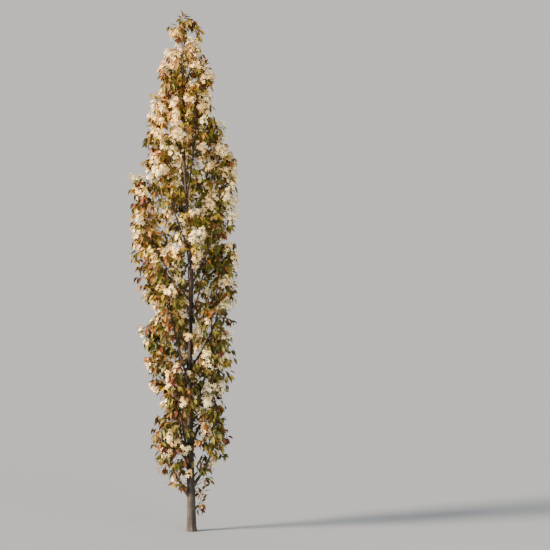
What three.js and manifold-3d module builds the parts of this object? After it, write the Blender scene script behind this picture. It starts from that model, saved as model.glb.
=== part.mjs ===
// A young columnar serviceberry in blossom, rooted in the ground.
// One leader runs from a flat cut at ground level to the top of the tree. Slim boughs leave it at
// narrow angles and rise almost upright, and each carries its own mass of twigs, leaves and racemes.
// Millimetres and +Z up. The origin is the middle of the ground cut, and the viewer stands at -Y.

import * as THREE from "three";
import { mergeVertices } from "three/addons/utils/BufferGeometryUtils.js";
import Module from "manifold-3d";

// Driving dimensions
const treeHeight = 3600;
const stemTop = treeHeight - 90; // no stem reaches higher: the topmost leaves stand out of it
const treeSeed = 30;
const seedStride = 1000; // from one limb's seeds to the next
const seedRange = 1e6; // of a seed that is drawn
const seatGap = 0.3; // between two solids that meet
const weldGap = 1e-3; // vertices closer than this are one
const sliverSize = 0.1; // details smaller than this are smoothed off a fused solid
const goldenTurn = THREE.MathUtils.degToRad(137.5);
const uprightLimit = 0.96; // a tangent whose Z is more is taken as upright
const stemSampleCount = 10;

const trunkShape = {
  tipHeight: 3300,
  sides: 12,
  steps: 18,
  ringSpread: 0.45, // below 1 the rings are closer together near the ground
  girth: [
    [0, 32],
    [300, 29],
    [650, 22.5],
    [1600, 14.5],
    [2600, 8.5],
    [3300, 4.5],
  ], // height, radius
  flare: { radius: 7, height: 50, lobes: 5, lobeShare: 0.3 },
  lean: { shift: -62, from: 1700, to: 2650 },
  sway: { side: -12, depth: 15, wave: 1750 },
};

const crownShift = { side: -50, from: 1000, to: 1800 }; // the crown's own axis, off the vertical

// Distance from the crown's axis to its edge: height, radius.
const crownProfile = [
  [200, 110],
  [420, 265],
  [600, 305],
  [850, 255],
  [1120, 345],
  [1900, 395],
  [2400, 390],
  [3050, 235],
  [3420, 155],
  [treeHeight, 50],
];

const boughPlan = {
  count: 26,
  lowestFork: 215,
  highestFork: 3060,
  crowding: 1.12, // above 1 the forks are closer together low down
  firstAzimuth: THREE.MathUtils.degToRad(205),
  azimuthJitter: 0.5,
  riseAtEnds: 440, // height gained from fork to tip, on the lowest and highest boughs
  riseInMiddle: 850, // and on those between
  middle: { start: 0.02, rate: 1.05 }, // places that middle a little below the centre
  riseJitter: [0.9, 1.1],
  reach: [0.58, 0.78], // share of the crown's radius that the tip stands out
  reachLevel: 0.7, // share of the rise at which that radius is read
  keepInside: 0.8, // most of the crown's radius that a bough uses
  twist: 0.5, // radians that a bough drifts round the leader
  woodShare: 0.28, // share of a limb that is bare bough, before its foliage
  forkRadius: [0.42, 5.6], // share of the trunk's radius there, and the least
  tipRadius: 3.9,
  taper: 0.8, // below 1 a bough thins fastest near its fork
  collar: { share: 0.55, length: 0.07 },
  sides: 5,
  steps: 3,
};

const stemShape = { sides: 4, steps: 3 };
const leaderBow = 10;
const lowSprig = {
  fork: 150,
  azimuth: 0.1,
  rootDepth: 0.5, // share of the trunk's radius that is left inside its root
  reach: 80,
  rise: 105,
  radius: 4.4,
};

const twigShape = {
  spacing: 62, // along the stem
  fewest: 3, // on one stem
  seat: 0.6, // share of the spacing below the first twig
  seatJitter: 0.4,
  lastSeat: 0.98, // highest place on a stem
  turnJitter: 0.6,
  long: 150, // lowest twigs of a stem
  short: 85, // highest twigs of a stem
  lengthJitter: [0.85, 1.15],
  spread: THREE.MathUtils.degToRad(56), // from the stem
  spreadJitter: 0.3,
  lift: 0.3, // how far a twig is turned up
  endSeat: 0.85, // place along a twig where its end leaf or raceme sets on
  radius: 3.4, // at the root, running out to a point
  sides: 3,
};

const leafShape = {
  length: 150,
  width: 94,
  keel: 5, // depth under the middle of the blade
  widest: 0.42, // share of the length from the base
  spread: THREE.MathUtils.degToRad(62), // from the twig
  hang: 1.3, // how far a leaf is turned towards the ground
  seats: [0.34, 0.7], // places along a twig
  turnJitter: 1.4,
  sizeJitter: [0.8, 1.05],
  crest: { size: 0.6, seat: 0.99 }, // the leaf on a stem's tip
};

const racemeShape = {
  length: 108,
  radius: 44,
  knobble: 0.22, // how uneven the flowers make it
  chance: 0.5, // share of the twigs that end in blossom
  lift: 0.35, // how far a raceme is turned up
  sink: 0.2, // share of its length that it reaches back over the twig
};

const fitTries = [1, 0.8, 0.62, 0.48]; // shares of its full size at which a twig or leaf is tried

// Least gaps: inside one mass other than where pieces join, to another mass, to bare wood, to ground.
const clearance = { own: 1.5, neighbour: 4, limb: 3, ground: 25 };
const overhang = 25; // how far a leaf may stand out of the crown's mean edge

const finish = {
  bark: { color: 0x6b6157, roughness: 0.85 },
  foliage: { color: 0x8a7a3a, roughness: 0.6 },
};

const wasm = await Module();
wasm.setup();

const up = new THREE.Vector3(0, 0, 1);
const number = (index) => String(index + 1).padStart(2, "0");
const { lerp, smoothstep } = THREE.MathUtils;
const within = ([low, high], share) => lerp(low, high, share);

// A repeatable stream of numbers from 0 to 1.
function seededStream(seed) {
  let state = seed >>> 0;
  return () => {
    state = (state + 0x6d2b79f5) >>> 0;
    let mixed = Math.imul(state ^ (state >>> 15), state | 1);
    mixed ^= mixed + Math.imul(mixed ^ (mixed >>> 7), mixed | 61);
    return ((mixed ^ (mixed >>> 14)) >>> 0) / 4294967296;
  };
}

// The value at one height of a table of [height, value], eased between its rows.
function readProfile(table, height) {
  const last = table[table.length - 1];
  if (height <= table[0][0]) return table[0][1];
  if (height >= last[0]) return last[1];
  const next = table.findIndex(([level]) => level > height);
  const [lowLevel, lowValue] = table[next - 1];
  const [highLevel, highValue] = table[next];
  return lerp(lowValue, highValue, smoothstep(height, lowLevel, highLevel));
}

const crownRadius = (height) => readProfile(crownProfile, height);
const trunkRadius = (height) => readProfile(trunkShape.girth, height);

// The leader's centre line: a slow sway, and a lean to the left above the middle.
function trunkPoint(height) {
  const { lean, sway } = trunkShape;
  const swing = Math.sin((Math.PI * height) / sway.wave);
  const ease = smoothstep(height, 0, sway.wave / 4);
  return new THREE.Vector3(
    lean.shift * smoothstep(height, lean.from, lean.to) + sway.side * swing * ease,
    sway.depth * swing * ease,
    height,
  );
}

// The middle of the crown at one height.
function crownCentre(height) {
  const { side, from, to } = crownShift;
  return new THREE.Vector3(side * smoothstep(height, from, to), 0, height);
}

// A closed mesh as a solid, with the vertices that faces share merged.
function toSolid(geometry) {
  geometry.deleteAttribute("normal");
  geometry.deleteAttribute("uv");
  const merged = mergeVertices(geometry, weldGap);
  return new wasm.Manifold(
    new wasm.Mesh({
      numProp: 3,
      vertProperties: new Float32Array(merged.getAttribute("position").array),
      triVerts: new Uint32Array(merged.index.array),
    }),
  );
}

function toGeometry(solid) {
  const { vertProperties, triVerts } = solid.getMesh();
  const geometry = new THREE.BufferGeometry();
  geometry.setAttribute("position", new THREE.BufferAttribute(vertProperties, 3));
  geometry.setIndex(new THREE.BufferAttribute(triVerts, 1));
  geometry.computeVertexNormals();
  return geometry;
}

// The largest body of a solid, with no loose scraps and no sealed hollows.
function mainBody(solid) {
  const bodies = solid.decompose();
  return bodies.reduce((best, body) => (body.volume() > best.volume() ? body : best));
}

// Solids joined into one. Anything that hangs on by a sliver comes away and is dropped.
function fuse(solids) {
  const joined = mainBody(wasm.Manifold.union(solids)).simplify(sliverSize);
  return mainBody(toSolid(toGeometry(joined)));
}

// Moves every vertex of a geometry with one function of its own coordinates.
function reshape(geometry, place) {
  const position = geometry.getAttribute("position");
  for (let i = 0; i < position.count; i += 1) {
    const moved = place(position.getX(i), position.getY(i), position.getZ(i));
    position.setXYZ(i, moved.x, moved.y, moved.z);
  }
  return geometry;
}

// Two directions square to a tangent, for the rings of a limb.
function crossFrame(tangent) {
  const guide = Math.abs(tangent.z) > uprightLimit ? new THREE.Vector3(1, 0, 0) : up;
  const across = guide.clone().addScaledVector(tangent, -guide.dot(tangent)).normalize();
  return { across, beside: new THREE.Vector3().crossVectors(across, tangent) };
}

function tangentOf(pointAt, place) {
  const reach = 0.02;
  return pointAt(Math.min(1, place + reach))
    .sub(pointAt(Math.max(0, place - reach)))
    .normalize();
}

// A closed tapering limb: a cylinder whose rings are moved onto a path. Places run from 0 to 1.
function limbGeometry(pointAt, radiusAt, sides, steps) {
  return reshape(new THREE.CylinderGeometry(1, 1, 1, sides, steps), (x, y, z) => {
    const place = y + 0.5;
    const { across, beside } = crossFrame(tangentOf(pointAt, place));
    const radius = radiusAt(place);
    return pointAt(place)
      .addScaledVector(across, x * radius)
      .addScaledVector(beside, z * radius);
  });
}

// The trunk's rings stay level, so that the ground cut is flat. Low down they swell into root lobes.
// Grown by the seat gap it is the tool that cuts what meets the trunk.
function trunkGeometry(grow) {
  const { sides, steps, tipHeight, ringSpread, flare } = trunkShape;
  return reshape(new THREE.CylinderGeometry(1, 1, 1, sides, steps), (x, y, z) => {
    const place = y + 0.5;
    const height = (tipHeight + grow) * place * lerp(place, 1, ringSpread);
    const lobe = 1 + flare.lobeShare * Math.cos(flare.lobes * Math.atan2(z, x));
    const swell = flare.radius * Math.exp(-height / flare.height) * lobe;
    const radius = trunkRadius(height) + swell + grow;
    return trunkPoint(height).add(new THREE.Vector3(z * radius, x * radius, 0));
  });
}

// One limb from its fork to the end of its foliage. Places run from 0 to 1.
function boughLimb(index) {
  const plan = boughPlan;
  const draw = seededStream(treeSeed + seedStride * index);
  const order = index / (plan.count - 1);
  const fork = lerp(plan.lowestFork, plan.highestFork, order ** plan.crowding);
  const { start, rate } = plan.middle;
  const middle = Math.sin(Math.PI * Math.min(1, order * rate + start));
  const fullRise = lerp(plan.riseAtEnds, plan.riseInMiddle, middle);
  const rise = fullRise * within(plan.riseJitter, draw());
  const azimuth =
    plan.firstAzimuth + goldenTurn * index + plan.azimuthJitter * (draw() - 0.5);
  const share = within(plan.reach, draw());
  const twist = plan.twist * (draw() - 0.5);
  const top = Math.min(fork + rise, stemTop);
  const reach = share * crownRadius(lerp(fork, top, plan.reachLevel));
  const forkRadius = Math.max(plan.forkRadius[1], plan.forkRadius[0] * trunkRadius(fork));
  return {
    index,
    massName: `foliage_${number(index)}`,
    blossomChance: racemeShape.chance,
    pointAt: (place) => {
      const height = lerp(fork, top, place);
      const out = Math.min(reach * place * (2 - place), crownRadius(height) * plan.keepInside);
      const angle = azimuth + twist * place;
      const axis = trunkPoint(height).lerp(crownCentre(height), place);
      return axis.add(new THREE.Vector3(Math.cos(angle) * out, Math.sin(angle) * out, 0));
    },
    radiusAt: (place) =>
      lerp(forkRadius, plan.tipRadius, place ** plan.taper) +
      plan.collar.share * forkRadius * Math.exp(-place / plan.collar.length),
    woodEnd: plan.woodShare,
    length: Math.hypot(top - fork, reach),
  };
}

// The end of the leader above the trunk's tip, which carries the topmost leaves.
function leaderLimb() {
  const foot = trunkShape.tipHeight - seatGap; // cut clear of the trunk's tip later
  return {
    index: boughPlan.count,
    massName: "foliage_leader",
    blossomChance: racemeShape.chance,
    pointAt: (place) => {
      const height = lerp(foot, stemTop, place);
      const bow = leaderBow * Math.sin(Math.PI * place);
      return trunkPoint(height).add(new THREE.Vector3(bow, -bow, 0));
    },
    radiusAt: (place) => lerp(trunkRadius(foot), boughPlan.tipRadius, place),
    woodEnd: 0,
    length: stemTop - foot,
  };
}

// A small sprig straight off the foot of the trunk, in leaf only.
function sprigLimb() {
  const { fork, azimuth, rootDepth, reach, rise, radius } = lowSprig;
  const side = new THREE.Vector3(Math.cos(azimuth), Math.sin(azimuth), 0);
  return {
    index: boughPlan.count + 1,
    massName: "foliage_low_sprig",
    blossomChance: 0,
    pointAt: (place) =>
      trunkPoint(fork)
        .addScaledVector(side, lerp(trunkRadius(fork) * rootDepth, reach, place))
        .addScaledVector(up, rise * place * place),
    radiusAt: (place) => lerp(radius, boughPlan.tipRadius, place),
    woodEnd: 0,
    length: Math.hypot(reach, rise),
  };
}

// A stretch of a limb, with places from 0 to 1 again.
function stretch(limb, from, to) {
  return {
    pointAt: (place) => limb.pointAt(lerp(from, to, place)),
    radiusAt: (place) => limb.radiusAt(lerp(from, to, place)),
  };
}

function samplePath(pointAt, radiusAt, count) {
  return Array.from({ length: count + 1 }, (_, i) => ({
    point: pointAt(i / count),
    radius: radiusAt(i / count),
  }));
}

// Distance from a point to the skin of a sampled limb.
function gapTo(samples, point) {
  let least = Infinity;
  const closest = new THREE.Vector3();
  const span = new THREE.Line3();
  for (let i = 1; i < samples.length; i += 1) {
    span.set(samples[i - 1].point, samples[i].point);
    const place = span.closestPointToPointParameter(point, true);
    span.at(place, closest);
    const radius = lerp(samples[i - 1].radius, samples[i].radius, place);
    least = Math.min(least, closest.distanceTo(point) - radius);
  }
  return least;
}

const limbs = Array.from({ length: boughPlan.count }, (_, index) => boughLimb(index));
const leader = leaderLimb();
const sprig = sprigLimb();
const bearers = [...limbs, leader, sprig];

// Places of the stem that bears a mass: from just past the bough's tip to the end of the limb.
for (const limb of bearers) {
  limb.stemStart = limb.woodEnd ? limb.woodEnd + seatGap / limb.length : 0;
  const stem = stretch(limb, limb.stemStart, 1);
  limb.stem = stem;
  limb.stemLength = limb.length * (1 - limb.stemStart);
  limb.stemSamples = samplePath(stem.pointAt, stem.radiusAt, stemSampleCount);
}

// Whether points stay inside the crown, off the ground, and in the space nearest to their own stem.
function staysInSpace(limb, points) {
  return points.every((point) => {
    const centre = crownCentre(point.z);
    const out = Math.hypot(point.x - centre.x, point.y - centre.y);
    if (point.z < clearance.ground || point.z > treeHeight) return false;
    if (out > crownRadius(point.z) + overhang) return false;
    const own = gapTo(limb.stemSamples, point);
    return bearers.every(
      (other) =>
        other === limb || gapTo(other.stemSamples, point) > own + 2 * clearance.neighbour,
    );
  });
}

function verticesOf(geometry) {
  const position = geometry.getAttribute("position");
  return Array.from({ length: position.count }, (_, i) =>
    new THREE.Vector3().fromBufferAttribute(position, i),
  );
}

// A straight twig that runs out to a point. Three sides are enough for it.
function twigGeometry(pointAt) {
  const { radius, sides } = twigShape;
  const { across, beside } = crossFrame(tangentOf(pointAt, 0));
  return reshape(new THREE.ConeGeometry(radius, 1, sides), (x, y, z) =>
    pointAt(y + 0.5).addScaledVector(across, x).addScaledVector(beside, z),
  );
}

// A leaf of six faces, widest below its middle, with a keel under its flat blade. Its pointed root is
// sunk to the middle of what bears it.
function leafGeometry(root, direction, size) {
  const { length, width, keel, widest } = leafShape;
  const side = new THREE.Vector3().crossVectors(up, direction).normalize();
  const face = new THREE.Vector3().crossVectors(direction, side);
  return reshape(new THREE.SphereGeometry(1, 3, 2), (x, y, z) => {
    const along = y < -0.5 ? 0 : lerp(widest, 1, Math.max(0, y));
    return root
      .clone()
      .addScaledVector(direction, along * length * size)
      .addScaledVector(side, (z * width * size) / Math.sqrt(3))
      .addScaledVector(face, x * keel);
  });
}

// A raceme: one knobbly spindle of blossom round the end of its twig.
function racemeGeometry(root, direction, size, draw) {
  const { length, radius, knobble, sink } = racemeShape;
  const { across, beside } = crossFrame(direction);
  const corners = new Map();
  return reshape(new THREE.IcosahedronGeometry(1), (x, y, z) => {
    const key = [x, y, z].map((value) => Math.round(value * 1000)).join();
    if (!corners.has(key)) corners.set(key, size * (1 + knobble * (2 * draw() - 1)));
    const bulge = corners.get(key);
    return root
      .clone()
      .addScaledVector(direction, (size * (0.5 - sink) + (y * bulge) / 2) * length)
      .addScaledVector(across, x * bulge * radius)
      .addScaledVector(beside, z * bulge * radius);
  });
}

// A direction that leaves a tangent at an angle, turned round it.
function splay(tangent, spread, turn) {
  const { across, beside } = crossFrame(tangent);
  return tangent
    .clone()
    .multiplyScalar(Math.cos(spread))
    .addScaledVector(across, Math.sin(spread) * Math.cos(turn))
    .addScaledVector(beside, Math.sin(spread) * Math.sin(turn));
}

function leafDirection(tangent, turn) {
  return splay(tangent, leafShape.spread, turn).addScaledVector(up, -leafShape.hang).normalize();
}

// Every piece grown so far, with its box: the wood first, then the foliage mass by mass.
const grown = [];

function pieceOf(solid, owner, size) {
  const { min, max } = solid.boundingBox();
  const box = new THREE.Box3(new THREE.Vector3(...min), new THREE.Vector3(...max));
  return { solid, owner, size, box };
}

function gapNeeded(piece, other) {
  if (other.owner === null) return clearance.limb;
  return other.owner === piece.owner ? clearance.own : clearance.neighbour;
}

function touchesOthers(piece, bearer) {
  const reach = piece.box.clone().expandByScalar(clearance.neighbour);
  return grown.some((other) => {
    if (other === bearer || !other.box.intersectsBox(reach)) return false;
    const needed = gapNeeded(piece, other);
    return piece.solid.minGap(other.solid, needed) < needed;
  });
}

// The pieces that shapesOf gives, at the first size at which all of them keep to their mass's space
// and touch nothing but what bears them.
function growPieces(limb, bearer, shapesOf) {
  for (const size of fitTries) {
    const shapes = shapesOf(size);
    if (!shapes.every((shape) => staysInSpace(limb, verticesOf(shape)))) continue;
    const pieces = shapes.map((shape) => pieceOf(toSolid(shape), limb, size));
    if (pieces.some((piece) => touchesOthers(piece, bearer))) continue;
    grown.push(...pieces);
    return pieces;
  }
  return [];
}

// A straight twig off the stem, with the raceme or leaf at its end.
function growTwig({ limb, place, turn, draw }) {
  const { stem, blossomChance } = limb;
  const { long, short, lengthJitter, spreadJitter, endSeat } = twigShape;
  const spread = twigShape.spread * (1 + spreadJitter * (draw() - 0.5));
  const fullLength = lerp(long, short, place) * within(lengthJitter, draw());
  const root = stem.pointAt(place);
  const heading = splay(tangentOf(stem.pointAt, place), spread, turn)
    .addScaledVector(up, twigShape.lift)
    .normalize();
  const inBlossom = draw() < blossomChance;
  const lift = inBlossom ? racemeShape.lift : -leafShape.hang;
  const turned = heading.clone().addScaledVector(up, lift).normalize();
  const endSeed = Math.floor(draw() * seedRange);
  const reachOf = (size) => (along) =>
    root.clone().addScaledVector(heading, along * fullLength * size);
  const [piece] = growPieces(limb, limb.stemPiece, (size) => {
    const pointAt = reachOf(size);
    const end = inBlossom
      ? racemeGeometry(pointAt(endSeat), turned, size, seededStream(endSeed))
      : leafGeometry(pointAt(endSeat), turned, size);
    return [twigGeometry(pointAt), end];
  });
  return piece && { limb, draw, piece, heading, pointAt: reachOf(piece.size) };
}

// Leaves on alternate sides of a twig.
function growTwigLeaves({ limb, draw, piece, heading, pointAt }) {
  const { seats, turnJitter, sizeJitter } = leafShape;
  seats.forEach((seat, i) => {
    const direction = leafDirection(heading, Math.PI * i + turnJitter * draw());
    const full = within(sizeJitter, draw());
    growPieces(limb, piece, (size) => [leafGeometry(pointAt(seat), direction, full * size)]);
  });
}

// The small upright leaf on the end of a stem.
function growCrest(limb) {
  const { pointAt } = limb.stem;
  const { crest } = leafShape;
  growPieces(limb, limb.stemPiece, (size) => [
    leafGeometry(pointAt(crest.seat), tangentOf(pointAt, 1), crest.size * size),
  ]);
}

// Where the twigs leave a stem, each with its own stream of numbers.
function jointsOf(limb) {
  const { spacing, fewest, seat, seatJitter, lastSeat, turnJitter } = twigShape;
  const count = Math.max(fewest, Math.round(limb.stemLength / spacing));
  return Array.from({ length: count }, (_, order) => {
    const draw = seededStream(treeSeed + seedStride * limb.index + order + 1);
    const place = Math.min(lastSeat, (order + seat + seatJitter * (draw() - 0.5)) / count);
    const turn = goldenTurn * order + limb.index + turnJitter * (draw() - 0.5);
    return { limb, draw, place, turn };
  });
}

// A mass of foliage: its stem, the twigs off it, and what they bear, fused into one solid.
function foliageSolid(limb) {
  growCrest(limb);
  const twigs = jointsOf(limb).map(growTwig).filter(Boolean);
  twigs.forEach(growTwigLeaves);
  const own = grown.filter((piece) => piece.owner === limb);
  return fuse(own.map((piece) => piece.solid));
}

const trunkSolid = toSolid(trunkGeometry(0));
const trunkClearance = toSolid(trunkGeometry(seatGap));
grown.push(pieceOf(trunkSolid, null, 1));

function boughSolid(limb) {
  const bough = stretch(limb, 0, limb.woodEnd);
  const { sides, steps } = boughPlan;
  const whole = toSolid(limbGeometry(bough.pointAt, bough.radiusAt, sides, steps));
  return mainBody(whole.subtract(trunkClearance));
}

const tree = new THREE.Group();

function addPart(name, solid, look) {
  const mesh = new THREE.Mesh(
    toGeometry(solid),
    new THREE.MeshStandardMaterial({ ...look, metalness: 0 }),
  );
  mesh.name = name;
  tree.add(mesh);
}

addPart("trunk", trunkSolid, finish.bark);
for (const limb of limbs) {
  const bough = boughSolid(limb);
  grown.push(pieceOf(bough, null, 1));
  addPart(`bough_${number(limb.index)}`, bough, finish.bark);
}
for (const limb of bearers) {
  const { pointAt, radiusAt } = limb.stem;
  const stem = toSolid(limbGeometry(pointAt, radiusAt, stemShape.sides, stemShape.steps));
  const clear = limb.woodEnd ? stem : mainBody(stem.subtract(trunkClearance));
  limb.stemPiece = pieceOf(clear, limb, 1);
  grown.push(limb.stemPiece);
}
for (const limb of bearers) addPart(limb.massName, foliageSolid(limb), finish.foliage);

export default tree;
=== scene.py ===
# Young columnar serviceberry in blossom, dressed for a studio shot.
# Metres, +Z up, viewer at -Y. The limbs repeat the growth rule of the solids, and the foliage
# grows on from them to finer twigs, single leaves and five-petalled flowers.

import math

import bmesh
import bpy
import numpy as np
from mathutils import Matrix, Vector, noise


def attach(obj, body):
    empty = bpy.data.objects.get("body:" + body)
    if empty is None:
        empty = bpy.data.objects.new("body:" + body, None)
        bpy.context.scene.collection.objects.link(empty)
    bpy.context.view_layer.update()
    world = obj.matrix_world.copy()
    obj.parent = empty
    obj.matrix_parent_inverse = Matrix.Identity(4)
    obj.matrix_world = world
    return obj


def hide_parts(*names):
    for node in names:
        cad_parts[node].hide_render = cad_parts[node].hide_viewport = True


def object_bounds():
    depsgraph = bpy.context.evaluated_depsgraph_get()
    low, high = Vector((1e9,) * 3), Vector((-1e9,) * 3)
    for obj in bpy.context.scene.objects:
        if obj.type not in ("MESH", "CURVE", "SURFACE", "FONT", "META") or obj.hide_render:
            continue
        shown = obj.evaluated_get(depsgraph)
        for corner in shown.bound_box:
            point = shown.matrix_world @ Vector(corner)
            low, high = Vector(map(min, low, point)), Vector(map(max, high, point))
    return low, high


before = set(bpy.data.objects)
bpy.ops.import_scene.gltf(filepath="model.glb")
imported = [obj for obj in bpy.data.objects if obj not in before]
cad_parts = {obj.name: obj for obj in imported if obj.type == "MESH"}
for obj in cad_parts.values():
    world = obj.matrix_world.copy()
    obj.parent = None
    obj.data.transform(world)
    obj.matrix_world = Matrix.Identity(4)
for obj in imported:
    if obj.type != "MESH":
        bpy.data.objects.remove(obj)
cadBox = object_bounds()
allNodes = sorted(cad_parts)
boughNodes = [name for name in allNodes if name.startswith("bough")]
massNodes = [name for name in allNodes if name.startswith("foliage")]
print("frame loaded,", len(allNodes), "nodes")

treeHeight = 3.6
stemTop = treeHeight - 0.09  # highest end of a bough or of the leader
goldenTurn = math.radians(137.5)
quarterTurn = math.radians(90)
up = Vector((0, 0, 1))


# Seeded numbers and easing, the same as in the solids

seeds = {
    "tree": 30,
    "limbStep": 1000,
    "endRange": 1e6,  # of the seed that a twig draws for its own end
    # The last three aren't in the solids
    "fineStep": 151,  # from one finer twig to the next
    "spur": 754,
    "crest": 900,
}


def seededStream(seed):
    # The mulberry32 generator, with numbers from 0 to 1.
    mask = 0xFFFFFFFF
    state = seed & mask

    def draw():
        nonlocal state
        state = (state + 0x6D2B79F5) & mask
        mixed = (state ^ (state >> 15)) * (state | 1) & mask
        mixed ^= (mixed + (mixed ^ (mixed >> 7)) * (mixed | 61)) & mask
        return (mixed ^ (mixed >> 14)) / (mask + 1)

    return draw


def limbStream(index, offset=0):
    return seededStream(seeds["tree"] + seeds["limbStep"] * index + offset)


def lerp(low, high, share):
    return low + (high - low) * share


def smoothstep(value, low, high):
    share = min(1, max(0, (value - low) / (high - low)))
    return share * share * (3 - 2 * share)


def readProfile(table, height):
    if height <= table[0][0]:
        return table[0][1]
    for (low, lowValue), (high, highValue) in zip(table, table[1:]):
        if height < high:
            return lerp(lowValue, highValue, smoothstep(height, low, high))
    return table[-1][1]


# Trunk and crown

trunk = {
    "tipHeight": 3.3,
    "girth": [(0, 0.032), (0.3, 0.029), (0.65, 0.0225), (1.6, 0.0145), (2.6, 0.0085), (3.3, 0.0045)],
    "flareRadius": 0.007,
    "flareHeight": 0.05,
    "flareLobes": 5,
    "lobeShare": 0.3,
    "lean": (-0.062, 1.7, 2.65),  # how far, and from which height to which
    "sway": (-0.012, 0.015, 1.75),  # sideways, in depth, and the height of one swing
    "sides": 60,
    "rings": 300,
    "ringSpread": 0.45,  # 1 for even rings, less for closer ones at the foot
    "ribScale": (3.2, 5),  # of the bark's upright ribs, round the trunk and along it
    "ribFractal": (0.8, 2.1, 4),  # fall, step and number of its octaves
    "furrow": 0.0011,  # depth between the ribs
    "knotScale": (0.6, 9),  # round the trunk as a share of the ribs', and along it
    "knotPower": 3,
    "knot": 0.0016,
    "tones": [(0.0085, 0.0068, 0.0056), (0.0225, 0.0186, 0.0152), (0.068, 0.0585, 0.049)],
    "grain": 95,
    # higher up the bark is multiplied by this tone: partly the young wood's own red, partly painted shade
    # darkening the upper trunk
    "young": (0.7, 0.52, 0.44),
}

crown = {
    "edge": [
        (0.2, 0.11), (0.42, 0.265), (0.6, 0.305), (0.85, 0.255), (1.12, 0.345),
        (1.9, 0.395), (2.4, 0.39), (3.05, 0.235), (3.42, 0.155), (3.6, 0.05),
    ],
    "shift": (-0.05, 1.0, 1.8),  # how far, and from which height to which
    "keepInside": 0.8,  # of the edge, for the boughs
    "ground": 0.025,
    "room": 0.045,  # round the trunk, without leaves
    "roomFrom": 0.35,
    "roomFades": (2.3, 2.9),
    "boxMargin": 0.004,
    "hang": 1.2,  # of the leaves
}

# Heights at which the foliage parts in front of the wood, so that it shows as in the photo
partings = {
    "trunk": [(1.12, 1.31), (1.37, 1.93), (2.32, 2.62), (3.13, 3.36)],
    "bough_04": [(0.6, 0.98)],
    "bough_09": [(1.0, 1.62)],
    "bough_10": [(1.14, 1.5)],
    "bough_14": [(1.6, 1.98)],
    "bough_15": [(1.68, 1.98)],
    "bough_17": [(1.98, 2.25)],
    "bough_20": [(2.45, 2.95)],
}


def trunkPoint(height):
    shift, leanFrom, leanTo = trunk["lean"]
    side, depth, wave = trunk["sway"]
    swing = math.sin(math.pi * height / wave) * smoothstep(height, 0, wave / 4)
    return Vector((shift * smoothstep(height, leanFrom, leanTo) + side * swing, depth * swing, height))


def trunkRadius(height):
    return readProfile(trunk["girth"], height)


def crownRadius(height):
    return readProfile(crown["edge"], height)


def crownCentre(height):
    side, low, high = crown["shift"]
    return Vector((side * smoothstep(height, low, high), 0, height))


# Boughs, leader and low sprig by the growth rule

bough = {
    "count": 26,
    "lowestFork": 0.215,
    "highestFork": 3.06,
    "crowding": 1.12,
    "firstAzimuth": math.radians(205),
    "azimuthJitter": 0.5,
    "riseAtEnds": 0.44,
    "riseInMiddle": 0.85,
    "riseWave": (0.02, 1.05),  # start and rate, so that the boughs about halfway up rise most
    "riseJitter": (0.9, 1.1),
    "reach": (0.58, 0.78),
    "reachLevel": 0.7,  # place on the bough where the crown's width counts
    "twist": 0.5,
    "woodShare": 0.28,
    # The wood is a little slimmer than the solids'
    "forkShare": 0.36,  # of the trunk's radius
    "forkLeast": 0.0056,
    "tipRadius": 0.003,
    "collarShare": 0.55,
    "collarLength": 0.07,
    "crestHang": 0.5,
    "sides": 10,
    "rings": 72,
    "ribScale": (1.6, 14),
    "ribFractal": (0.9, 2, 3),
    "relief": 0.00045,
    "tones": [(0.014, 0.009, 0.0063), (0.03, 0.0195, 0.0145), (0.06, 0.041, 0.031)],
    "grain": 150,
    # higher up the bark is multiplied by this tone: partly the young wood's own red, partly painted shade
    # darkening the boughs higher up
    "young": (0.75, 0.6, 0.52),
}


def boughLimb(index):
    draw = limbStream(index)
    order = index / (bough["count"] - 1)
    fork = lerp(bough["lowestFork"], bough["highestFork"], order ** bough["crowding"])
    start, rate = bough["riseWave"]
    middle = math.sin(math.pi * min(1, order * rate + start))
    rise = lerp(bough["riseAtEnds"], bough["riseInMiddle"], middle) * lerp(*bough["riseJitter"], draw())
    azimuth = bough["firstAzimuth"] + goldenTurn * index + bough["azimuthJitter"] * (draw() - 0.5)
    share = lerp(*bough["reach"], draw())
    twist = bough["twist"] * (draw() - 0.5)
    top = min(fork + rise, stemTop)
    reach = share * crownRadius(lerp(fork, top, bough["reachLevel"]))
    forkRadius = max(bough["forkLeast"], bough["forkShare"] * trunkRadius(fork))

    def pointAt(place):
        height = lerp(fork, top, place)
        out = min(reach * place * (2 - place), crownRadius(height) * crown["keepInside"])
        angle = azimuth + twist * place
        axis = trunkPoint(height).lerp(crownCentre(height), place)
        return axis + Vector((math.cos(angle) * out, math.sin(angle) * out, 0))

    def radiusAt(place):
        collar = bough["collarShare"] * forkRadius * math.exp(-place / bough["collarLength"])
        return lerp(forkRadius, bough["tipRadius"], place) + collar

    return {
        "index": index,
        "pointAt": pointAt,
        "radiusAt": radiusAt,
        "heights": (fork, top),
        "stemStart": bough["woodShare"],
        "length": math.hypot(top - fork, reach),
        "fewLeaves": False,
        "hang": crown["hang"],
        "crestHang": bough["crestHang"],
    }


leader = {"bow": 0.01, "crestHang": 0.9}


def leaderLimb():
    foot = trunk["tipHeight"]

    def pointAt(place):
        swing = leader["bow"] * math.sin(math.pi * place)
        return trunkPoint(lerp(foot, stemTop, place)) + Vector((swing, -swing, 0))

    return {
        "index": bough["count"],
        "pointAt": pointAt,
        "radiusAt": lambda place: lerp(trunkRadius(foot), bough["tipRadius"], place),
        "stemStart": 0,
        "length": stemTop - foot,
        "fewLeaves": False,
        "hang": crown["hang"],
        "crestHang": leader["crestHang"],
    }


sprig = {
    "fork": 0.15,
    "azimuth": 0.1,
    "rootDepth": 0.5,  # of the trunk's radius
    "reach": 0.08,
    "rise": 0.105,
    "radius": 0.0032,
    "tipRadius": 0.0013,
    "hang": 0.3,
    "crestHang": 0.1,
}


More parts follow.
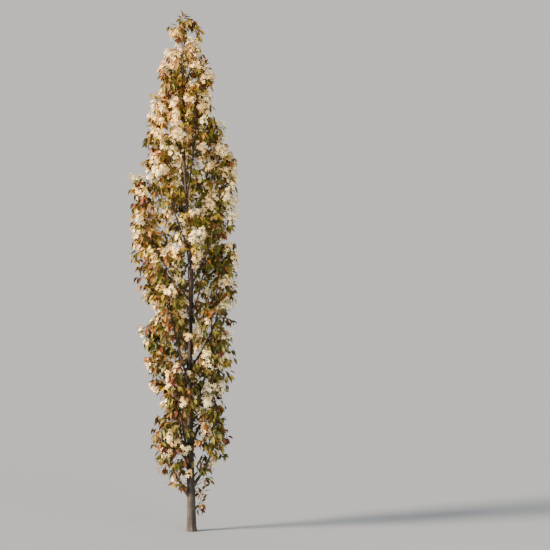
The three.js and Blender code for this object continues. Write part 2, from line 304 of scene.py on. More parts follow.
def sprigLimb():
    side = Vector((math.cos(sprig["azimuth"]), math.sin(sprig["azimuth"]), 0))
    root = trunkPoint(sprig["fork"])
    inner = trunkRadius(sprig["fork"]) * sprig["rootDepth"]

    def pointAt(place):
        return root + side * lerp(inner, sprig["reach"], place) + up * sprig["rise"] * place * place

    return {
        "index": bough["count"] + 1,
        "pointAt": pointAt,
        "radiusAt": lambda place: lerp(sprig["radius"], sprig["tipRadius"], place),
        "stemStart": 0,
        "length": math.hypot(sprig["reach"], sprig["rise"]),
        "fewLeaves": True,
        "hang": sprig["hang"],
        "crestHang": sprig["crestHang"],
    }


limbs = [boughLimb(index) for index in range(bough["count"])] + [leaderLimb(), sprigLimb()]


# Room for the foliage. Every limb's main twigs keep to the space nearest to its own stem.

stemSamples = 10


def stemSpans():
    starts, spans, owners = [], [], []
    for limb in limbs:
        places = [lerp(limb["stemStart"], 1, i / stemSamples) for i in range(stemSamples + 1)]
        points = [limb["pointAt"](place) for place in places]
        for low, high in zip(points, points[1:]):
            starts.append(low)
            spans.append(high - low)
            owners.append(limb["index"])
    return np.array(starts), np.array(spans), np.array(owners)


spanStarts, spanReaches, spanOwners = stemSpans()
spanLengths = (spanReaches ** 2).sum(1)
lowCorner = np.array(cadBox[0]) + (crown["boxMargin"], crown["boxMargin"], 0)
highCorner = np.array(cadBox[1]) - (crown["boxMargin"], crown["boxMargin"], 0)


def staysInCrown(point):
    if point.z < crown["ground"] or np.any(point < lowCorner) or np.any(point > highCorner):
        return False
    centre = crownCentre(point.z)
    return math.hypot(point.x - centre.x, point.y - centre.y) <= crownRadius(point.z)


def clearsTrunk(point):
    away = (point - trunkPoint(min(point.z, trunk["tipHeight"]))).xy.length
    room = crown["room"] * (1 - smoothstep(point.z, *crown["roomFades"]))
    return point.z < crown["roomFrom"] or away >= room


def woodAt(name, height):
    if name == "trunk":
        return trunkPoint(height), trunkRadius(height)
    limb = limbs[boughNodes.index(name)]
    fork, top = limb["heights"]
    place = (height - fork) / (top - fork)
    return limb["pointAt"](place), limb["radiusAt"](place)


def clearsView(point, margin):
    for name, spans in partings.items():
        if any(low < point.z < high for low, high in spans):
            wood, radius = woodAt(name, point.z)
            if point.y < wood.y and abs(point.x - wood.x) < radius + margin:
                return False
    return True


def staysInSpace(limb, point):
    offsets = np.array(point) - spanStarts
    places = np.clip((offsets * spanReaches).sum(1) / spanLengths, 0, 1)
    gaps = ((offsets - spanReaches * places[:, None]) ** 2).sum(1)
    return spanOwners[gaps.argmin()] == limb["index"]


# Mesh helpers

uprightLimit = 0.96  # a tangent that rises more than this takes its cross frame from the X axis
tangentStep = 0.02  # to each side of a place, as a share of the limb
barkCrease = math.radians(62)
bladeCrease = math.radians(50)
tolerance = 1e-6


def newObject(name, mesh, material, replaced):
    mesh.materials.clear()
    mesh.materials.append(material)
    piece = bpy.data.objects.new(name, mesh)
    bpy.context.scene.collection.objects.link(piece)
    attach(piece, "root")
    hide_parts(*replaced)
    print(name, "has", sum(len(face.vertices) - 2 for face in mesh.polygons), "triangles")


def crossFrame(tangent):
    guide = Vector((1, 0, 0)) if abs(tangent.z) > uprightLimit else up
    across = (guide - tangent * guide.dot(tangent)).normalized()
    return across, across.cross(tangent)


def tangentOf(pointAt, place):
    return (pointAt(min(1, place + tangentStep)) - pointAt(max(0, place - tangentStep))).normalized()


def splay(tangent, spread, turn):
    across, beside = crossFrame(tangent)
    return (
        tangent * math.cos(spread)
        + across * (math.sin(spread) * math.cos(turn))
        + beside * (math.sin(spread) * math.sin(turn))
    )


def addTube(bm, sides, rings, placeAt):
    # A closed cylinder of unit height, whose vertices placeAt moves by share of the height and angle.
    part = bmesh.new()
    bmesh.ops.create_cone(part, cap_ends=True, segments=sides, radius1=1, radius2=1, depth=1)
    upright = [edge for edge in part.edges if abs(edge.verts[0].co.z - edge.verts[1].co.z) > 0.5]
    bmesh.ops.subdivide_edges(part, edges=upright, cuts=rings - 1, use_grid_fill=False)
    for vert in part.verts:
        vert.co = placeAt(vert.co.z + 0.5, math.atan2(vert.co.y, vert.co.x))
    mesh = bpy.data.meshes.new("tube")
    part.to_mesh(mesh)
    part.free()
    bm.from_mesh(mesh)
    bpy.data.meshes.remove(mesh)


def barkMesh(bm, name):
    bmesh.ops.recalc_face_normals(bm, faces=bm.faces)
    mesh = bpy.data.meshes.new(name)
    bm.to_mesh(mesh)
    bm.free()
    mesh.shade_smooth()
    mesh.set_sharp_from_angle(angle=barkCrease)
    return mesh


# Materials

def shaderMaterial(name, colour, roughness):
    material = bpy.data.materials.new(name)
    material.use_nodes = True
    shader = material.node_tree.nodes["Principled BSDF"]
    shader.inputs["Base Color"].default_value = (*colour, 1)
    shader.inputs["Roughness"].default_value = roughness
    return material, shader


def addNode(material, kind, values, **settings):
    # A value is a number, a colour or the output of another node.
    tree = material.node_tree
    node = tree.nodes.new(kind)
    for key, value in settings.items():
        setattr(node, key, value)
    for key, value in values.items():
        if isinstance(value, bpy.types.NodeSocket):
            tree.links.new(value, node.inputs[key])
        else:
            node.inputs[key].default_value = value
    return node


def stretched(material, coords, share):
    # Under 1 the pattern is drawn out along the stem, over 1 it is pressed flat.
    values = {"Vector": coords, "Scale": (1, 1, share)}
    return addNode(material, "ShaderNodeMapping", values).outputs["Vector"]


def noiseValue(material, coords, scale, detail, roughness=0.5):
    values = {"Vector": coords, "Scale": scale, "Detail": detail, "Roughness": roughness}
    return addNode(material, "ShaderNodeTexNoise", values).outputs["Fac"]


def rangeShare(material, value, low, high):
    values = {"Value": value, "From Min": low, "From Max": high}
    return addNode(material, "ShaderNodeMapRange", values).outputs["Result"]


def toneRamp(material, value, tones, stops):
    ramp = addNode(material, "ShaderNodeValToRGB", {"Fac": value})
    elements = ramp.color_ramp.elements
    elements.new(stops[1])
    for element, stop, tone in zip(elements, stops, tones):
        element.position = stop
        element.color = (*tone, 1)
    return ramp.outputs["Color"]


def multiplied(material, base, share, colour):
    values = {"Factor": share, "A": base, "B": (*colour, 1)}
    settings = {"data_type": "RGBA", "blend_type": "MULTIPLY"}
    return addNode(material, "ShaderNodeMix", values, **settings).outputs["Result"]


def addBump(material, shader, height, strength, distance):
    values = {"Height": height, "Strength": strength, "Distance": distance}
    bump = addNode(material, "ShaderNodeBump", values)
    material.node_tree.links.new(bump.outputs["Normal"], shader.inputs["Normal"])


bark = {
    "roughness": 0.82,
    "ribStretch": 0.12,  # of the pattern along the stem
    "ribNoise": (6, 0.62),  # detail and roughness
    "blotchScale": 0.16,  # of the grain
    "blotchDetail": 3,
    "blotchShare": 0.45,
    "toneStops": (0.34, 0.5, 0.68),
    # heights over which the redder, darker tone comes in, its darkening painted shade
    "youngHeights": (0.35, 1.5),
    "markScale": 0.5,  # of the grain
    "markStretch": 4.5,
    "markDetail": 2,
    "markStops": (0.55, 0.66),
    "markTone": (0.45, 0.43, 0.42),
    "bump": (0.6, 0.0016),  # strength and distance
}


def barkMaterial(name, tones, grain, young=None):
    # Upright ribs and soft blotches, a redder and darker tone higher up, and small cross marks. The redder
    # part is the young wood's own colour; the darkening is painted shade on the upper stem.
    material, shader = shaderMaterial(name, tones[1], bark["roughness"])
    coords = addNode(material, "ShaderNodeTexCoord", {}).outputs["Object"]
    ribs = noiseValue(material, stretched(material, coords, bark["ribStretch"]), grain, *bark["ribNoise"])
    blotches = noiseValue(material, coords, grain * bark["blotchScale"], bark["blotchDetail"])
    blend = addNode(material, "ShaderNodeMix", {"Factor": bark["blotchShare"], "A": ribs, "B": blotches})
    colour = toneRamp(material, blend.outputs["Result"], tones, bark["toneStops"])
    # redder and darker with height: the young wood's own red, with painted shade
    if young:
        height = addNode(material, "ShaderNodeSeparateXYZ", {"Vector": coords}).outputs["Z"]
        colour = multiplied(material, colour, rangeShare(material, height, *bark["youngHeights"]), young)
    flattened = stretched(material, coords, bark["markStretch"])
    pores = noiseValue(material, flattened, grain * bark["markScale"], bark["markDetail"])
    marks = rangeShare(material, pores, *bark["markStops"])
    colour = multiplied(material, colour, marks, bark["markTone"])
    material.node_tree.links.new(colour, shader.inputs["Base Color"])
    addBump(material, shader, ribs, *bark["bump"])
    return material


blade = {
    "gloss": 0.2,
    "cockle": (220, 2),  # scale and detail
    "bump": (0.2, 0.0006),  # strength and distance
}


def bladeMaterial(name, colour, roughness):
    # A plain colour, with the fine cockle of a young leaf or petal in its bump.
    material, shader = shaderMaterial(name, colour, roughness)
    shader.inputs["Specular IOR Level"].default_value = blade["gloss"]
    coords = addNode(material, "ShaderNodeTexCoord", {}).outputs["Object"]
    addBump(material, shader, noiseValue(material, coords, *blade["cockle"]), *blade["bump"])
    return material


# Bark of the trunk and the boughs

def buildTrunk():
    ribRound, ribAlong = trunk["ribScale"]
    knotRound, knotAlong = trunk["knotScale"]

    def placeAt(share, angle):
        height = trunk["tipHeight"] * share * lerp(share, 1, trunk["ringSpread"])
        lobe = 1 + trunk["lobeShare"] * math.cos(trunk["flareLobes"] * angle)
        swell = trunk["flareRadius"] * math.exp(-height / trunk["flareHeight"]) * lobe
        skin = Vector((math.cos(angle) * ribRound, math.sin(angle) * ribRound, height * ribAlong))
        ribs = noise.fractal(skin, *trunk["ribFractal"]) * trunk["furrow"]
        knotSkin = Vector((skin.x * knotRound, skin.y * knotRound, height * knotAlong))
        knots = max(0, noise.noise(knotSkin)) ** trunk["knotPower"]
        slim = trunkRadius(height) / trunkRadius(0)
        radius = trunkRadius(height) + swell - trunk["furrow"] * slim
        radius += (ribs + knots * trunk["knot"]) * slim
        return trunkPoint(height) + Vector((math.cos(angle) * radius, math.sin(angle) * radius, 0))

    bm = bmesh.new()
    addTube(bm, trunk["sides"], trunk["rings"], placeAt)
    material = barkMaterial("TrunkBark", trunk["tones"], trunk["grain"], trunk["young"])
    newObject("trunkBark", barkMesh(bm, "trunkBark"), material, ["trunk"])


def buildBoughs():
    ribRound, ribAlong = bough["ribScale"]
    bm = bmesh.new()
    for limb in limbs:
        pointAt, radiusAt, index = limb["pointAt"], limb["radiusAt"], limb["index"]

        def placeAt(share, angle):
            across, beside = crossFrame(tangentOf(pointAt, share))
            centre = pointAt(share)
            level = centre.z * ribAlong + index
            skin = Vector((math.cos(angle) * ribRound, math.sin(angle) * ribRound, level))
            radius = radiusAt(share) + noise.fractal(skin, *bough["ribFractal"]) * bough["relief"]
            return centre + (across * math.cos(angle) + beside * math.sin(angle)) * radius

        addTube(bm, bough["sides"], bough["rings"], placeAt)
    material = barkMaterial("BoughBark", bough["tones"], bough["grain"], bough["young"])
    newObject("boughBark", barkMesh(bm, "boughBark"), material, boughNodes)


buildTrunk()
buildBoughs()


# Tints, dealt out by spray. By name: the colour, the share that the side towards the light has
# of it, the share of the side away from it, how much that share grows from the stems out to the
# crown's edge, and how much it is multiplied by at the tree's top and divided by at its foot.

# Painted light and shade: the side towards the key sun gets more of the warm gold, orange and copper tints
# and the side away more of the lime and green ones. The height factor gives lighter tints towards the top
# and darker ones towards the foot, partly the crown's own change of colour with height and partly painted
# light and shade.
leafTints = {
    "Gold": ((0.205, 0.147, 0.015), 3.6, 2.4, 1.3, 3),
    "Lime": ((0.102, 0.098, 0.008), 5, 7, 0.9, 2.1),
    "Olive": ((0.059, 0.053, 0.006), 6, 5.5, 0.6, 0.38),
    "Green": ((0.037, 0.047, 0.006), 1.8, 3, 0.6, 0.4),
    "Orange": ((0.165, 0.063, 0.01), 3.2, 1.5, 2, 1.3),
    "Copper": ((0.095, 0.044, 0.008), 4.4, 3, 1.1, 0.6),
    "Crimson": ((0.1, 0.022, 0.01), 1.2, 1, 2, 1),
    "Maroon": ((0.052, 0.021, 0.009), 0.9, 1.3, 0.8, 0.5),
}

# Painted light and shade: the warm Peach stands for petals in the warm key sun and goes mostly to the lit
# side, the less warm Ivory mostly to the side away, in shade.
petalTints = {
    "Peach": ((1, 0.69, 0.31), 4, 0.5, 1, 0.85),
    "Cream": ((0.98, 0.78, 0.42), 4.5, 3.5, 1, 1),
    "Ivory": ((0.95, 0.83, 0.52), 1.2, 4, 1, 1.1),
}

daylight = {
    "across": (-0.9, 0.7),  # from the lit side to the one away, in crown radii
    "atTop": -0.6,  # the thin top is in the light all through
    "topHeights": (2.2, 3.2),
    "edge": (0.3, 1),
    "climb": (0.4, 3.2),
}


def dealTint(tints, point, draw):
    # Painted light and shade: the tint a spray gets follows its side towards or away from the key sun and
    # its height.
    offset = (point - crownCentre(point.z)) / crownRadius(point.z)
    across = smoothstep(offset.x, *daylight["across"])
    away = lerp(across, daylight["atTop"], smoothstep(point.z, *daylight["topHeights"]))
    edge = smoothstep(offset.length, *daylight["edge"])
    climb = smoothstep(point.z, *daylight["climb"])
    shares = [
        lerp(lit, shaded, away) * lerp(1, outer, edge) * lerp(1 / upper, upper, climb)
        for _, lit, shaded, outer, upper in tints.values()
    ]
    pick = draw() * sum(shares)
    for name, share in zip(tints, shares):
        pick -= share
        if pick <= 0:
            return name
    return name


# Leaves, sprays and racemes

leaf = {
    "length": (0.044, 0.064),  # with its stalk
    "spread": math.radians(58),
    "spreadFall": (1.15, 0.7),  # at the foot of a spray, and by how much it closes up to its tip
    "hangJitter": (0.6, 1.2),
    "roll": math.radians(50),
    "reach": 0.95,  # of the length, to a hanging tip
    "viewPlaces": (0.4, 0.7, 1),  # shares of a leaf that keep clear where the foliage parts
    "viewRoom": 0.012,
    "rows": [(0, 0), (0.15, 0.014), (0.31, 0.16), (0.5, 0.21), (0.76, 0.135), (1, 0)],
    "fold": 0.4,
    "droops": (0.1, 0.22, 0.36),
    "thickness": 0.012,
    "roughness": 0.52,
}

spray = {
    "length": 0.05,
    "leaves": 5,
    "fewEvery": 3,  # one leaf in so many has the spray's second tint
    "hang": 0.35,
    "sag": 0.002,
    "rootRadius": 0.0011,
    "tipRadius": 0.0007,
    "sizeJitter": (0.8, 1.05),
}

raceme = {
    "length": 0.064,
    "flowers": 9,
    "firstFlower": 0.12,
    "stalkRadius": (0.00104, 0.00056),
    "pedicel": (0.027, 0.012),
    "pedicelJitter": (0.8, 1.2),
    "spread": (math.radians(84), math.radians(25)),
    "spreadPower": 1.5,
    "facing": (0.25, 0.2),  # how far a flower turns up, and at most along the raceme
    "edgeRoom": 0.006,
    "viewRoom": 0.014,
    "sizeJitter": (0.8, 1.1),
    "seats": (1, 0.86, 0.66),  # a clump's places on its twig
    "seatChance": (1, 0.85, 0.55),
    "seatSpread": 0.85,
}

flower = {
    "radius": (0.0175, 0.0145),
    "petals": 5,
    "petal": [(0.06, 0), (0.46, 0.19), (0.85, 0.18), (1, 0.01), (0.83, -0.17), (0.46, -0.2)],
    "petalPeak": 0.6,
    "petalThickness": 0.05,
    "petalLift": 0.16,
    "petalRoughness": 0.6,
    "heart": {"radii": (0.13, 0.22), "depth": 0.25, "middle": 0.14},
    "heartColour": (0.42, 0.36, 0.12),
    "heartRoughness": 0.7,
    "stalk": {"radii": (0.05, 0.08), "depth": 1, "middle": 0.5},
    "stalkColour": (0.2, 0.14, 0.06),
    "stalkRoughness": 0.6,
}

strands = []  # twigs and stalks: points, radii
leafPlaces = {name: [] for name in leafTints}
petalPlaces = {name: [] for name in petalTints}
pedicelPlaces = []


def addStrand(points, rootRadius, tipRadius):
    last = len(points) - 1
    strands.append((points, [lerp(rootRadius, tipRadius, i / last) for i in range(last + 1)]))


def addLeaf(root, direction, tint, draw):
    length = lerp(*leaf["length"], draw())
    roll = leaf["roll"] * (2 * draw() - 1)
    droop = int(draw() * len(leaf["droops"]))
    tip = root + direction * length * leaf["reach"] - up * length * leaf["droops"][droop]
    seen = [root.lerp(tip, place) for place in leaf["viewPlaces"]]
    if not (staysInCrown(tip) and all(clearsView(point, leaf["viewRoom"]) for point in seen)):
        return
    side = Matrix.Rotation(roll, 3, direction) @ crossFrame(direction)[1]
    leafPlaces[tint].append((root, direction, side, length, droop))


def growSpray(root, direction, size, hang, draw):
    tip = root + direction * (spray["length"] * size)
    if not (staysInCrown(tip) and clearsTrunk(tip)):
        return
    addStrand([root, root.lerp(tip, 0.5) - up * spray["sag"], tip], spray["rootRadius"], spray["tipRadius"])
    most, few = dealTint(leafTints, tip, draw), dealTint(leafTints, tip, draw)
    turn = 2 * math.pi * draw()
    widest, fall = leaf["spreadFall"]
    for i in range(spray["leaves"]):
        place = (i + 1) / spray["leaves"]
        aim = splay(direction, leaf["spread"] * (widest - fall * place), turn + goldenTurn * i)
        aim -= up * hang * lerp(*leaf["hangJitter"], draw())
        tint = few if i % spray["fewEvery"] == 1 else most
        addLeaf(root.lerp(tip, place), aim.normalized(), tint, draw)


def growRaceme(root, direction, size, draw):
    tip = root + direction * (raceme["length"] * size)
    if not (staysInCrown(tip) and clearsTrunk(tip)):
        return
    addStrand([root, tip], *raceme["stalkRadius"])
    tint = dealTint(petalTints, tip, draw)
    turn = 2 * math.pi * draw()
    lift, along = raceme["facing"]
    for i in range(raceme["flowers"]):
        place = (i + 0.5) / raceme["flowers"]
        spread = lerp(*raceme["spread"], place ** raceme["spreadPower"])
        aim = splay(direction, spread, turn + goldenTurn * i)
        stalk = lerp(*raceme["pedicel"], place) * lerp(*raceme["pedicelJitter"], draw())
        foot = root.lerp(tip, lerp(raceme["firstFlower"], 1, place))
        centre = foot + aim * stalk
        if not (staysInCrown(centre + aim * raceme["edgeRoom"]) and clearsView(centre, raceme["viewRoom"])):
            continue
        facing = (aim + up * lift + direction * along * draw()).normalized()
        across = Matrix.Rotation(2 * math.pi * draw(), 3, facing) @ facing.orthogonal().normalized()
        pedicelPlaces.append((foot, aim, aim.orthogonal().normalized(), stalk))
        petalPlaces[tint].append((centre, facing, across, lerp(*flower["radius"], place)))


# Twigs off every stem by the growth rule, with finer ones between them and spurs on the bare wood

twig = {
    "spacing": 0.062,
    "fewest": 3,
    "seat": (0.6, 0.4),  # middle and jitter of a twig's place in its own stretch of the stem
    "lastSeat": 0.98,
    "turnJitter": 0.6,
    "long": 0.15,
    "short": 0.085,
    "lengthJitter": (0.85, 1.15),
    "spread": math.radians(56),
    "spreadJitter": 0.3,
    "lift": 0.3,
    "sag": 0.006,
    "outerJoint": 0.55,  # from the knee to the tip
    "rootRadius": 0.0021,
    "tipRadius": 0.0011,
    "tries": (1, 0.8, 0.62, 0.48),
    "leastEnd": 0.75,  # size of a spray or raceme on a twig of no length
    "blossomChance": [(1.1, 0.165), (1.7, 0.32), (2.5, 0.53), (3.25, 0.46), (3.48, 0)],  # by height
    "blossomLift": 0.35,
    "seats": (0.2, 0.5, 0.82),
    "seatTurn": 1.4,
    "tones": [(0.032, 0.016, 0.012), (0.068, 0.034, 0.024), (0.104, 0.058, 0.042)],
    "grain": 300,
}

fineTwig = {
    "between": 3,  # from one main twig to the next
    "fullBelow": 1.95,  # height up to which there is one more
    "thinAbove": 2.85,  # height from which there is one less
    "share": (0.6, 0.95),  # of the main twig's length
    "turnStep": 0.62,  # of the golden turn
    "lastSeat": 0.99,
    "seats": (0.7,),
}

spur = {
    "from": 0.22,  # of a bough's bare wood
    "count": 6,
    "length": 0.0765,
}

crestPlace = 0.985  # where a limb's last spray starts


def growBlossom(root, tip, heading, scale, draw):
    side = 2 * math.pi * draw()
    for i, (seat, chance) in enumerate(zip(raceme["seats"], raceme["seatChance"])):
        if draw() < chance:
            aim = splay(heading, raceme["seatSpread"] * min(1, i), side + goldenTurn * i)
            aim = (aim + up * twig["blossomLift"]).normalized()
            growRaceme(root.lerp(tip, seat), aim, scale * lerp(*raceme["sizeJitter"], draw()), draw)


def growTwig(limb, stemPlace, length, turn, draw, blossomChance, seats, staysIn):
    tangent = tangentOf(limb["pointAt"], stemPlace)
    spread = twig["spread"] * (1 + twig["spreadJitter"] * (draw() - 0.5))
    length *= lerp(*twig["lengthJitter"], draw())
    heading = (splay(tangent, spread, turn) + up * twig["lift"]).normalized()
    inBlossom = draw() < blossomChance
    endDraw = seededStream(int(draw() * seeds["endRange"]))
    root = limb["pointAt"](stemPlace)
    fits = [size for size in twig["tries"] if staysIn(root + heading * (length + spray["length"]) * size)]
    if not fits:
        return
    tip = root + heading * length * fits[0]
    knee = root.lerp(tip, 0.5) - up * twig["sag"] * fits[0]
    joints = [root, root.lerp(knee, 0.5), knee, knee.lerp(tip, twig["outerJoint"]), tip]
    addStrand(joints, twig["rootRadius"], twig["tipRadius"])
    scale = lerp(twig["leastEnd"], 1, fits[0])
    if inBlossom:
        growBlossom(root, tip, heading, scale, endDraw)
    else:
        growSpray(tip, (heading - up * spray["hang"]).normalized(), scale, limb["hang"], endDraw)
    for i, seat in enumerate(seats):
        aim = splay(heading, twig["spread"], math.pi * i + twig["seatTurn"] * draw()) - up * spray["hang"]
        size = scale * lerp(*spray["sizeJitter"], draw())
        growSpray(root.lerp(tip, seat), aim.normalized(), size, limb["hang"], draw)


def growTwigs(limb):
    # The solids' own twigs, each followed by the finer ones that stand before the next.
    index, stemStart = limb["index"], limb["stemStart"]
    seat, seatJitter = twig["seat"]
    count = max(twig["fewest"], round(limb["length"] * (1 - stemStart) / twig["spacing"]))
    for order in range(count):
        draw = limbStream(index, order + 1)
        place = min(twig["lastSeat"], (order + seat + seatJitter * (draw() - 0.5)) / count)
        turn = goldenTurn * order + index + twig["turnJitter"] * (draw() - 0.5)
        length = lerp(twig["long"], twig["short"], place)
        stemPlace = lerp(stemStart, 1, place)
        height = limb["pointAt"](stemPlace).z
        blossom, between = 0, 0
        if not limb["fewLeaves"]:
            blossom = readProfile(twig["blossomChance"], height)
            between = fineTwig["between"]
            between += (height < fineTwig["fullBelow"]) - (height > fineTwig["thinAbove"])
        growTwig(
            limb, stemPlace, length, turn, draw, blossom, twig["seats"],
            lambda tip: staysInCrown(tip) and staysInSpace(limb, tip),
        )
        for step in range(between):
            draw = limbStream(index, order + seeds["fineStep"] * (step + 2))
            finePlace = min(fineTwig["lastSeat"], place + (step + 1) / (between + 1) / count)
            fineLength = length * lerp(*fineTwig["share"], draw())
            fineTurn = turn + (step + 1) * goldenTurn * fineTwig["turnStep"]
            growTwig(
                limb, lerp(stemStart, 1, finePlace), fineLength, fineTurn, draw, blossom,
                fineTwig["seats"], staysInCrown,
            )


def growSpurs(limb):
    # Only a bough has bare wood below its mass.
    if limb["stemStart"] == 0:
        return
    for order in range(spur["count"]):
        draw = limbStream(limb["index"], order + seeds["spur"])
        place = lerp(spur["from"], 1, (order + draw()) / spur["count"]) * limb["stemStart"]
        blossom = readProfile(twig["blossomChance"], limb["pointAt"](place).z)
        turn = goldenTurn * order + limb["index"]
        growTwig(limb, place, spur["length"], turn, draw, blossom, fineTwig["seats"], staysInCrown)


def growCrest(limb):
    draw = limbStream(limb["index"], seeds["crest"])
    growSpray(limb["pointAt"](crestPlace), tangentOf(limb["pointAt"], 1), 1, limb["crestHang"], draw)


# Young red leaves that stand up from the bud at the tree's tip, each with its turn and spread
bud = {"height": 0.036, "tint": "Maroon", "leaves": [(1.5, 0.15), (3.1, 0.95), (6.1, 1)]}


def growBud():
    draw = seededStream(seeds["tree"])
    foot = limbs[bough["count"]]["pointAt"](1)
    top = foot + up * bud["height"]
    addStrand([foot, top], spray["rootRadius"], spray["tipRadius"])
    for turn, spread in bud["leaves"]:
        addLeaf(top, splay(up, spread, turn), bud["tint"], draw)


for limb in limbs:
    growTwigs(limb)
    growSpurs(limb)
    growCrest(limb)
growBud()
print(
    len(strands), "twigs and stalks,", sum(map(len, leafPlaces.values())), "leaves,",
    sum(map(len, petalPlaces.values())), "flowers",
)


# Shapes that are repeated, each along X from its foot and of unit length or radius

def leafShape(droop):
    # A folded blade of two columns, closed below its midrib like a thin lens.
    bm = bmesh.new()
    last = len(leaf["rows"]) - 1
    bmesh.ops.create_grid(bm, x_segments=2, y_segments=last, size=0.5)
    for vert in bm.verts:
        share, half = leaf["rows"][round((vert.co.y + 0.5) * last)]
        beside = round(vert.co.x * 2)
        vert.co = Vector((share, beside * half, abs(beside) * half * leaf["fold"] - droop * share * share))
    for end in (0, 1):
        ends = [vert for vert in bm.verts if abs(vert.co.x - end) < tolerance]
        bmesh.ops.pointmerge(bm, verts=ends, merge_co=ends[0].co)
    copy = bmesh.ops.duplicate(bm, geom=bm.verts[:] + bm.edges[:] + bm.faces[:])
    under = [item for item in copy["geom"] if isinstance(item, bmesh.types.BMVert)]
    for vert in under:
        if abs(vert.co.y) < tolerance < vert.co.x < 1 - tolerance:
            vert.co.z -= leaf["thickness"]
    bmesh.ops.remove_doubles(bm, verts=bm.verts, dist=tolerance)
    bmesh.ops.triangulate(bm, faces=bm.faces)
    bmesh.ops.recalc_face_normals(bm, faces=bm.faces)
    return bm


def layAlongX(bm):
    turn = Matrix.Rotation(quarterTurn, 3, "Y")
    bmesh.ops.rotate(bm, verts=bm.verts, cent=(0, 0, 0), matrix=turn)


def petalsShape():
    # One petal as a thin lens in its own outline, spun round the flower's axis.
    outline, thickness, steps = flower["petal"], flower["petalThickness"], flower["petals"] - 1
    bm = bmesh.new()
    bmesh.ops.create_cone(
        bm, cap_ends=True, cap_tris=True, segments=len(outline), radius1=1, radius2=0, depth=thickness,
    )
    rim = [vert for vert in bm.verts if vert.co.xy.length > 0.5]
    rim.sort(key=lambda vert: math.atan2(vert.co.y, vert.co.x) % (2 * math.pi))
    for vert, (along, beside) in zip(rim, outline):
        vert.co = Vector((along, beside, flower["petalLift"] * along * along))
    for vert in bm.verts:
        if vert not in rim:
            vert.co.x = flower["petalPeak"]
            vert.co.z += thickness / 2
    layAlongX(bm)
    bmesh.ops.spin(
        bm, geom=bm.verts[:] + bm.edges[:] + bm.faces[:], axis=(1, 0, 0), cent=(0, 0, 0), dvec=(0, 0, 0),
        angle=2 * math.pi * steps / flower["petals"], steps=steps, use_duplicate=True,
    )
    bmesh.ops.recalc_face_normals(bm, faces=bm.faces)
    return bm


def coneShape(radii, depth, middle):
    # A flower's knot of stamens, or its stalk.
    bm = bmesh.new()
    bmesh.ops.create_cone(bm, cap_ends=True, segments=3, radius1=radii[0], radius2=radii[1], depth=depth)
    bmesh.ops.translate(bm, verts=bm.verts, vec=up * middle)
    layAlongX(bm)
    return bm


def shapeArrays(bm):
    bmesh.ops.triangulate(bm, faces=bm.faces)
    bm.verts.index_update()
    points = np.array([vert.co[:] for vert in bm.verts])
    faces = np.array([[vert.index for vert in face.verts] for face in bm.faces])
    bm.free()
    return points, faces


def scatter(name, shapes, places, material):
    # Copies of the shapes in one mesh. A place is a root, a direction, a side, a size and which shape.
    allPoints, allFaces, start = [], [], 0
    for root, along, side, size, *kind in places:
        points, faces = shapes[kind[0] if kind else 0]
        turned = np.array((along, side, along.cross(side))) * size
        allPoints.append(points @ turned + np.array(root))
        allFaces.append(faces + start)
        start += len(points)
    mesh = bpy.data.meshes.new(name)
    mesh.from_pydata(np.concatenate(allPoints), [], np.concatenate(allFaces))
    mesh.update()
    mesh.shade_smooth()
    mesh.set_sharp_from_angle(angle=bladeCrease)
    newObject(name, mesh, material, massNodes)


def buildTwigs():
    curve = bpy.data.curves.new("twigs", "CURVE")
    curve.dimensions = "3D"
    curve.bevel_depth = 1
    curve.bevel_resolution = 0
    curve.use_fill_caps = True
    for points, radii in strands:
        line = curve.splines.new("POLY")
        line.points.add(len(points) - 1)
        for spot, point, radius in zip(line.points, points, radii):
            spot.co = (*point, 1)
            spot.radius = radius
    holder = bpy.data.objects.new("twigCurve", curve)
    bpy.context.scene.collection.objects.link(holder)
    graph = bpy.context.evaluated_depsgraph_get()
    mesh = bpy.data.meshes.new_from_object(holder.evaluated_get(graph))
    bpy.data.objects.remove(holder)
    mesh.name = "twigs"
    mesh.shade_smooth()
    material = barkMaterial("TwigBark", twig["tones"], twig["grain"])
    newObject("twigs", mesh, material, massNodes)


def buildLeaves():
    shapes = [shapeArrays(leafShape(droop)) for droop in leaf["droops"]]
    for name, (colour, *_) in leafTints.items():
        material = bladeMaterial("Leaf" + name, colour, leaf["roughness"])
        scatter("leaves" + name, shapes, leafPlaces[name], material)


def buildBlossom():
    petals = shapeArrays(petalsShape())
    for name, (colour, *_) in petalTints.items():
        material = bladeMaterial("Petal" + name, colour, flower["petalRoughness"])
        scatter("blossom" + name, [petals], petalPlaces[name], material)
    everyFlower = [place for places in petalPlaces.values() for place in places]
    hearts = bladeMaterial("FlowerHeart", flower["heartColour"], flower["heartRoughness"])
    scatter("flowerHearts", [shapeArrays(coneShape(**flower["heart"]))], everyFlower, hearts)
    stalks = bladeMaterial("FlowerStalk", flower["stalkColour"], flower["stalkRoughness"])
    scatter("flowerStalks", [shapeArrays(coneShape(**flower["stalk"]))], pedicelPlaces, stalks)


buildTwigs()
buildLeaves()
buildBlossom()


# Camera at the photograph's angle: level, and square to a point right of the tree

photo = {
    "side": 550,
    "metresPerPixel": 0.00692,
    "baseColumn": 191.5,
    "baseRow": 531,
    "distance": 10,
    "sensor": 36,  # millimetres
}


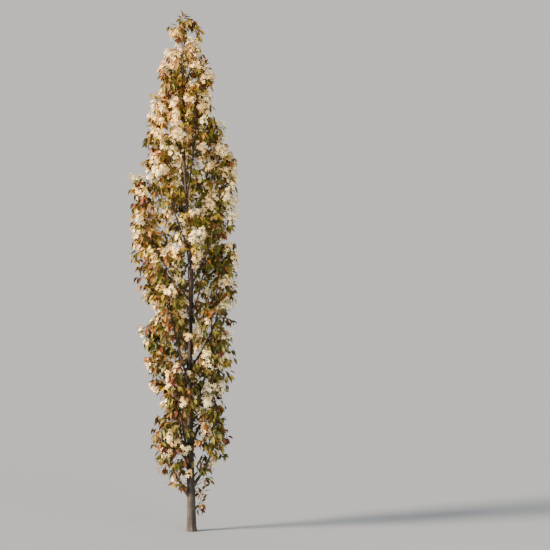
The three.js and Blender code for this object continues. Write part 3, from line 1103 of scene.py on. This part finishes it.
def buildCamera():
    half = photo["side"] / 2
    camera = bpy.data.cameras.new("photoCamera")
    camera.sensor_width = photo["sensor"]
    camera.lens = photo["sensor"] * photo["distance"] / (photo["side"] * photo["metresPerPixel"])
    holder = bpy.data.objects.new("photoCamera", camera)
    bpy.context.scene.collection.objects.link(holder)
    holder.location = (
        (half - photo["baseColumn"]) * photo["metresPerPixel"],
        -photo["distance"],
        (photo["baseRow"] - half) * photo["metresPerPixel"],
    )
    holder.rotation_euler = (quarterTurn, 0, 0)
    bpy.context.scene.camera = holder


# Pale floor and soft light

studio = {
    "floorRadius": 400,
    "floorSides": 96,
    # With no gloss, this much of the lights' sum is the world's own tone, so no horizon shows
    "floorColour": (0.2013, 0.2333, 0.2851),
    "worldColour": (0.72, 0.7, 0.66),
    "suns": {  # place, strength, softness in degrees and colour
        "keySun": ((-8, -3, 4.8), 23, 16, (1, 0.79, 0.55)),
        "fillSun": ((5, -7, 4.5), 3, 40, (1, 0.94, 0.82)),
        "backSun": ((-5, 6, 5), 1.2, 25, (1, 0.8, 0.6)),
    },
}


def buildFloor():
    bm = bmesh.new()
    bmesh.ops.create_circle(bm, cap_ends=True, segments=studio["floorSides"], radius=studio["floorRadius"])
    mesh = bpy.data.meshes.new("studioFloor")
    bm.to_mesh(mesh)
    bm.free()
    material, shader = shaderMaterial("StudioFloor", studio["floorColour"], 1)
    shader.inputs["Specular IOR Level"].default_value = 0
    mesh.materials.append(material)
    floor = bpy.data.objects.new("studioFloor", mesh)
    bpy.context.scene.collection.objects.link(floor)


def buildWorld():
    world = bpy.data.worlds.new("studioWorld")
    world.use_nodes = True
    background = world.node_tree.nodes["Background"]
    background.inputs["Color"].default_value = (*studio["worldColour"], 1)
    background.inputs["Strength"].default_value = 1
    bpy.context.scene.world = world


def sunLight(name, place, strength, softness, colour):
    light = bpy.data.lights.new(name, "SUN")
    light.energy = strength
    light.angle = math.radians(softness)
    light.color = colour
    holder = bpy.data.objects.new(name, light)
    bpy.context.scene.collection.objects.link(holder)
    holder.location = place
    aim = up * (treeHeight / 2) - holder.location
    holder.rotation_euler = aim.to_track_quat("-Z", "Y").to_euler()


buildCamera()
buildFloor()
buildWorld()
for name, values in studio["suns"].items():
    sunLight(name, *values)
print("camera, floor and lights set")
